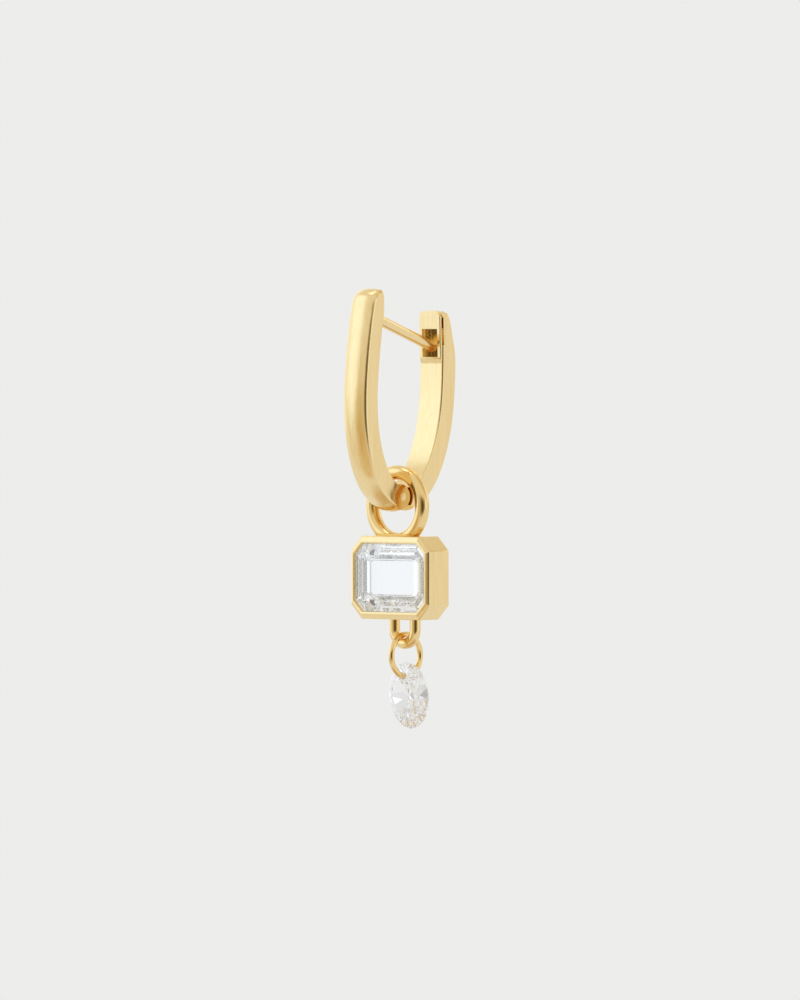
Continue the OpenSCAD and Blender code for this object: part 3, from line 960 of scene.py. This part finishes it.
def noise_of(nodes, links, stretch, detail):
    """Noise texture in the object's own millimetres, stretched along the three axes."""
    place = nodes.new("ShaderNodeTexCoord")
    mapping = nodes.new("ShaderNodeMapping")
    mapping.inputs["Scale"].default_value = [s / MM for s in stretch]
    noise = nodes.new("ShaderNodeTexNoise")
    noise.inputs["Scale"].default_value = 1
    noise.inputs["Detail"].default_value = detail
    links.new(place.outputs["Object"], mapping.inputs["Vector"])
    links.new(mapping.outputs["Vector"], noise.inputs["Vector"])
    return noise.outputs["Fac"]


def gold(name, colour, rough, streak, lines, wave, soft_edge):
    """Gold with a range of roughness, a share of darker streaks, and depths in mm of the
    polishing lines, of the waves and of the softened edges."""
    material, nodes, links = new_material(name)
    shader = nodes["Principled BSDF"]
    shader.inputs["Metallic"].default_value = 1.0
    fine = noise_of(nodes, links, line_stretch, 3)
    broad = noise_of(nodes, links, wave_stretch, 2)
    darker = tuple(c * (1 - streak * tint) for c, tint in zip(colour, streak_tint))
    tone = mixed(nodes, links, ranged(nodes, links, fine, 0, 1), darker, colour)
    links.new(tone, shader.inputs["Base Color"])
    links.new(ranged(nodes, links, fine, *rough), shader.inputs["Roughness"])
    edge = nodes.new("ShaderNodeBevel")
    edge.samples = 6
    edge.inputs["Radius"].default_value = soft_edge * MM
    ripple = nodes.new("ShaderNodeBump")
    ripple.inputs["Distance"].default_value = wave * MM
    grain = nodes.new("ShaderNodeBump")
    grain.inputs["Distance"].default_value = lines * MM
    links.new(edge.outputs["Normal"], ripple.inputs["Normal"])
    links.new(broad, ripple.inputs["Height"])
    links.new(ripple.outputs["Normal"], grain.inputs["Normal"])
    links.new(fine, grain.inputs["Height"])
    links.new(grain.outputs["Normal"], shader.inputs["Normal"])
    return material


satin_gold = gold("satin_gold", (0.96, 0.765, 0.425), (0.16, 0.23), 0.12, 0.0015, 0.020, 0.05)
polished_gold = gold("polished_gold", (0.93, 0.70, 0.34), (0.10, 0.16), 0.05, 0.0004, 0.006, 0.03)
# Darker, redder gold painted in as shade on the hinge and the saddle, which sit deep between
# other parts and mirror gold in gold.
recess_shade_gold = gold("recess_shade_gold", (0.80, 0.50, 0.15), (0.14, 0.22), 0.12, 0.0010, 0.010, 0.03)
seat_plate = gold("seat_plate", (0.86, 0.86, 0.85), (0.12, 0.20), 0.05, 0.0006, 0.006, 0.03)
print("finishes:", [m.name for m in (satin_gold, polished_gold, recess_shade_gold, seat_plate)])

# %% [markdown]
# ## Diamond
# Diamond bends light far more than glass does, with an index of 2.42, and has no colour of
# its own. A clear transmission shader with no roughness lets the facets do the work. A very
# faint haze on the surface stands for the dust and finger marks that any worn stone has.

# %% Diamond
def diamond(name, haze):
    material, nodes, links = new_material(name)
    shader = nodes["Principled BSDF"]
    shader.inputs["Base Color"].default_value = (0.98, 0.985, 0.995, 1)
    shader.inputs["Transmission Weight"].default_value = 1.0
    shader.inputs["IOR"].default_value = 2.42
    marks = noise_of(nodes, links, (0.8, 0.8, 0.8), 3)
    links.new(ranged(nodes, links, marks, 0.0, haze), shader.inputs["Roughness"])
    return material


clear_diamond = diamond("clear_diamond", 0.004)
print("stones:", clear_diamond.name)

# %% [markdown]
# ## Which finish goes where
# The arms and the setting have a soft satin polish, while the ring and the loops are bright.
# The hinge and the solder saddle get a darker, redder gold. It is painted shade for places
# that sit deep between other parts, where gold mirrors gold. The walls behind the stone are
# plated pale, because no gold shows through the stone. Several finishes meet in one soldered
# piece. It could be parted into loose shells, but a face can hold the number of its material
# by itself, so the faces are sorted by their place: a list of materials hangs on the piece,
# and each face picks one of them.

# %% Assign the finishes
def finish_piece(piece, *materials):
    piece.data.materials.clear()
    for material in materials:
        piece.data.materials.append(material)


finish_piece(front_arm, satin_gold, recess_shade_gold)
finish_piece(back_arm, satin_gold, recess_shade_gold)
finish_piece(charm_setting, satin_gold, polished_gold, seat_plate, recess_shade_gold)
finish_piece(jump_ring, polished_gold)
finish_piece(step_stone, clear_diamond)
finish_piece(drop_stone, clear_diamond)
print("materials on the charm:", len(charm_setting.data.materials))

# %% Sort the faces by place
nearly, back_margin = 0.02, 0.1


def charm_finish(x, y, z):
    """0 for the satin walls, 1 for ring and loop, 2 for the walls behind the stone and 3 for
    the saddle, whose darker gold is painted shade."""
    across, up, behind = abs(x), abs(z - setting_z), y - (setting_y - setting_t / 2)
    if up > setting_h / 2 + nearly:
        return 3 if setting_top < z < setting_top + saddle_h + nearly else 1
    in_window = (across < open_w / 2 + nearly and up < open_h / 2 + nearly
                 and across + up < (open_w + open_h) / 2 - open_cut + 1.5 * nearly)
    return 2 if in_window and girdle_deep + nearly < behind < setting_t - back_margin else 0


def arm_finish(x, y, z):
    """1 in the hinge, where the barrel and its seats lie between the sides of the band; there
    the darker gold is painted shade.
    """
    reach = math.hypot(y - pin_at.y, z - pin_at.z)
    in_hinge = reach < knuckle_d / 2 + hinge_gap + nearly
    return 1 if in_hinge and abs(x) < band_w / 2 - step_in + nearly / 2 else 0


for piece, pick in ((front_arm, arm_finish), (back_arm, arm_finish),
                    (charm_setting, charm_finish)):
    for face in piece.data.polygons:
        face.material_index = pick(*(face.center / MM))
for piece in (front_arm, back_arm, charm_setting):
    used = [face.material_index for face in piece.data.polygons]
    print(piece.name, "faces in each finish:", [used.count(i) for i in sorted(set(used))])

# %% [markdown]
# ## Studio
# The photograph shows the earring on a plain, evenly lit, pale ground with no shadow. The
# ground is a pale floor well below the piece, which glows as evenly as a lit cove does. Gold
# shows only what it reflects, so for reflections the floor has a warm shaded tone right
# below the piece, as if the piece took some light away there. The floor ends in front of the
# piece, where the camera's side of the room begins.

# %% Floor
ground, shaded = (0.846, 0.846, 0.831), (0.62, 0.48, 0.28)
floor_drop, floor_half, floor_front, shade_reach = 0.075, 0.55, 0.06, 1.25


def pale_floor():
    made = block("floor", (-floor_half, -floor_front, -floor_drop - MM),
                 (floor_half, floor_half, -floor_drop))
    material, nodes, links = new_material("pale_floor")
    nodes.remove(nodes["Principled BSDF"])
    glow = nodes.new("ShaderNodeEmission")
    place, path = nodes.new("ShaderNodeTexCoord"), nodes.new("ShaderNodeLightPath")
    reach = nodes.new("ShaderNodeVectorMath")
    reach.operation = "LENGTH"
    links.new(place.outputs["Object"], reach.inputs[0])
    lit = ranged(nodes, links, reach.outputs["Value"], 0, 1, floor_drop,
                 floor_drop * shade_reach, "SMOOTHSTEP")
    seen = nodes.new("ShaderNodeMath")
    seen.use_clamp = True
    links.new(path.outputs["Is Camera Ray"], seen.inputs[0])
    links.new(path.outputs["Is Transmission Ray"], seen.inputs[1])
    plain = nodes.new("ShaderNodeMath")
    plain.operation = "MAXIMUM"
    links.new(seen.outputs["Value"], plain.inputs[0])
    links.new(lit, plain.inputs[1])
    tone = mixed(nodes, links, plain.outputs["Value"], shaded, ground)
    links.new(tone, glow.inputs["Color"])
    links.new(glow.outputs["Emission"], nodes["Material Output"].inputs["Surface"])
    made.data.materials.append(material)


pale_floor()
print("floor", round(1000 * floor_drop), "mm below the post")

# %% [markdown]
# ## The room that the gold mirrors
# Polished metal is a picture of the room round it. The room could be built of walls and
# cards, but painting it into the world is quicker and gives softer borders. Its walls are
# pale and warm. Soft patches are added where cool lamplight falls, and others are multiplied
# in where the room is darker. The darkest lies where the camera and its stand would be: gold
# needs such a zone, because its edges are drawn by what is not lit. Rays that went through a
# stone see the same room in grey, so that the diamonds stay colourless, and the camera itself
# sees the plain ground.

# %% Painted room
walls, ceiling, stone_light = (0.80, 0.77, 0.68), (0.85, 0.82, 0.72), 0.92
patches = [(-48, 18, 9, 34, "ADD", (0.32, 0.48, 0.72)),
           (-100, 8, 10, 40, "ADD", (0.22, 0.30, 0.40)),
           (137, 0, 14, 36, "ADD", (0.05, 0.06, 0.10)),
           (-137, 0, 10, 40, "ADD", (0.14, 0.16, 0.22)),
           (-12, -32, 10, 30, "MULTIPLY", (0.88, 0.75, 0.54)),
           (137, 48, 12, 36, "MULTIPLY", (0.80, 0.70, 0.52)),
           (-12, -9, 6, 22, "MULTIPLY", (0.84, 0.74, 0.52)),
           (25, 0, 8, 24, "MULTIPLY", (0.50, 0.42, 0.30)),
           (50, 0, 9, 27, "MULTIPLY", (0.14, 0.11, 0.07)),
           (76, 0, 8, 24, "MULTIPLY", (0.50, 0.42, 0.30)),
           (104, 0, 8, 22, "ADD", (0.20, 0.28, 0.36))]


def toward(azimuth, elevation):
    """Direction at an azimuth from the front, towards +X, and an elevation, in degrees."""
    a, e = math.radians(azimuth), math.radians(elevation)
    return Vector((math.sin(a) * math.cos(e), -math.cos(a) * math.cos(e), math.sin(e)))


def painted_room(nodes, links):
    """Colour of the room in every direction. Each patch has an azimuth, an elevation, an
    inner and an outer radius in degrees, a way of blending and a colour."""
    direction = nodes.new("ShaderNodeTexCoord").outputs["Generated"]
    parts = nodes.new("ShaderNodeSeparateXYZ")
    links.new(direction, parts.inputs["Vector"])
    seen = mixed(nodes, links, parts.outputs["Z"], walls, ceiling)
    for azimuth, elevation, inner, outer, blend, colour in patches:
        dot = nodes.new("ShaderNodeVectorMath")
        dot.operation = "DOT_PRODUCT"
        dot.inputs[1].default_value = toward(azimuth, elevation)
        links.new(direction, dot.inputs[0])
        share = ranged(nodes, links, dot.outputs["Value"], 0, 1, math.cos(math.radians(outer)),
                       math.cos(math.radians(inner)), "SMOOTHSTEP")
        seen = mixed(nodes, links, share, seen, colour, blend)
    return seen


print("patches of light and shade in the room:", len(patches))

# %% World
def studio_world():
    """Plain ground for the camera, the room in grey through the stones, and the painted
    room for every other ray."""
    world = bpy.data.worlds.new("studio")
    bpy.context.scene.world = world
    world.use_nodes = True
    nodes, links = world.node_tree.nodes, world.node_tree.links
    nodes.clear()
    seen = painted_room(nodes, links)
    grey = nodes.new("ShaderNodeRGBToBW")
    links.new(seen, grey.inputs["Color"])
    path = nodes.new("ShaderNodeLightPath")
    shown = [nodes.new("ShaderNodeBackground") for _ in range(3)]
    links.new(seen, shown[0].inputs["Color"])
    links.new(grey.outputs["Val"], shown[1].inputs["Color"])
    shown[1].inputs["Strength"].default_value = stone_light
    shown[2].inputs["Color"].default_value = (*ground, 1)
    result = shown[0].outputs["Background"]
    for ray, view in (("Is Transmission Ray", shown[1]), ("Is Camera Ray", shown[2])):
        pick = nodes.new("ShaderNodeMixShader")
        links.new(path.outputs[ray], pick.inputs["Fac"])
        links.new(result, pick.inputs[1])
        links.new(view.outputs["Background"], pick.inputs[2])
        result = pick.outputs["Shader"]
    out = nodes.new("ShaderNodeOutputWorld")
    links.new(result, out.inputs["Surface"])
    return world


print("world:", studio_world().name)

# %% [markdown]
# ## Soft boxes
# Two soft boxes give the metal its brightest faces, one high above the piece and one low
# behind it. Area lights with a large surface are used, because a small lamp would leave hard
# white dots on polished gold.

# %% Lights
aim = Vector((0, 0, -0.014))


def soft_box(name, azimuth, elevation, distance, width, height, level):
    """Rectangle of soft light that faces the earring. Level 1 looks as bright as white."""
    light = bpy.data.lights.new(name, "AREA")
    light.shape = "RECTANGLE"
    light.size, light.size_y = width, height
    light.energy = level * math.pi * width * height
    made = bpy.data.objects.new(name, light)
    made.location = aim + toward(azimuth, elevation) * distance
    made.rotation_euler = toward(azimuth, elevation).to_track_quat("Z", "Y").to_euler()
    made.visible_camera = False
    bpy.context.scene.collection.objects.link(made)


soft_box("high_box", -60, 76, 0.7, 0.2, 0.3, 1.2)
soft_box("back_box", 160, 20, 0.9, 0.2, 0.5, 0.5)

# %% [markdown]
# ## Camera
# The photograph is taken from the right of the front, level with the piece, through a long
# lens that shows hardly any perspective. A pixel of its 800 by 1000 is a twelfth of a
# millimetre, so the lens follows from the distance, and the aim from the place of the
# picture's middle on the piece. Light bounces many times inside a cut stone, so the limits on
# bounces are set high: with too few, facets turn black.

# %% Camera
scene = bpy.context.scene
view_azimuth, view_elevation, camera_distance, bounces = 43, 1, 0.9, 48
picture_h = 1000 / 12 * MM
aim_right, aim_up = -0.127 * MM, -14.064 * MM
to_camera = toward(view_azimuth, view_elevation)
right = Vector((0, 0, 1)).cross(to_camera).normalized()
up = to_camera.cross(right)
camera = bpy.data.objects.new("camera", bpy.data.cameras.new("camera"))
camera.data.sensor_width = 36
camera.data.lens = camera.data.sensor_width * camera_distance / picture_h
camera.data.clip_start, camera.data.clip_end = 0.01, 20
camera.location = right * aim_right + up * aim_up + to_camera * camera_distance
camera.rotation_euler = to_camera.to_track_quat("Z", "Y").to_euler()
scene.collection.objects.link(camera)
scene.camera = camera
scene.view_settings.view_transform = "Standard"
scene.cycles.use_denoising = True
scene.cycles.max_bounces = bounces
scene.cycles.transmission_bounces = bounces
scene.cycles.glossy_bounces = bounces
print("lens", round(camera.data.lens, 1), "mm")

# %% [markdown]
# ## Hand the pieces to the frame
# Every piece rides on the body of the part it stands for and hides that part. The box of the
# finished pieces is then set against the box of the model, because the looks must not change
# the size of the object.

# %% Ride and replace
for piece, body, node, slot in (
        (front_arm, "front", "front_arm", "gold"),
        (back_arm, "back", "back_arm", "gold"),
        (charm_setting, "charm", "charm_setting", "gold"),
        (step_stone, "charm", "step_cut_stone", "diamond"),
        (jump_ring, "charm", "jump_ring", "gold"),
        (drop_stone, "charm", "drop_stone", "diamond")):
    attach(piece, body)
    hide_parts(node)
    low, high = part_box(node)
    corners = [piece.matrix_world @ v.co for v in piece.data.vertices]
    over = max(max(max(c[i] for c in corners) - high[i], low[i] - min(c[i] for c in corners))
               for i in range(3))
    print(piece.name, "stands out of its part's box by", round(1000 * over, 3), "mm")
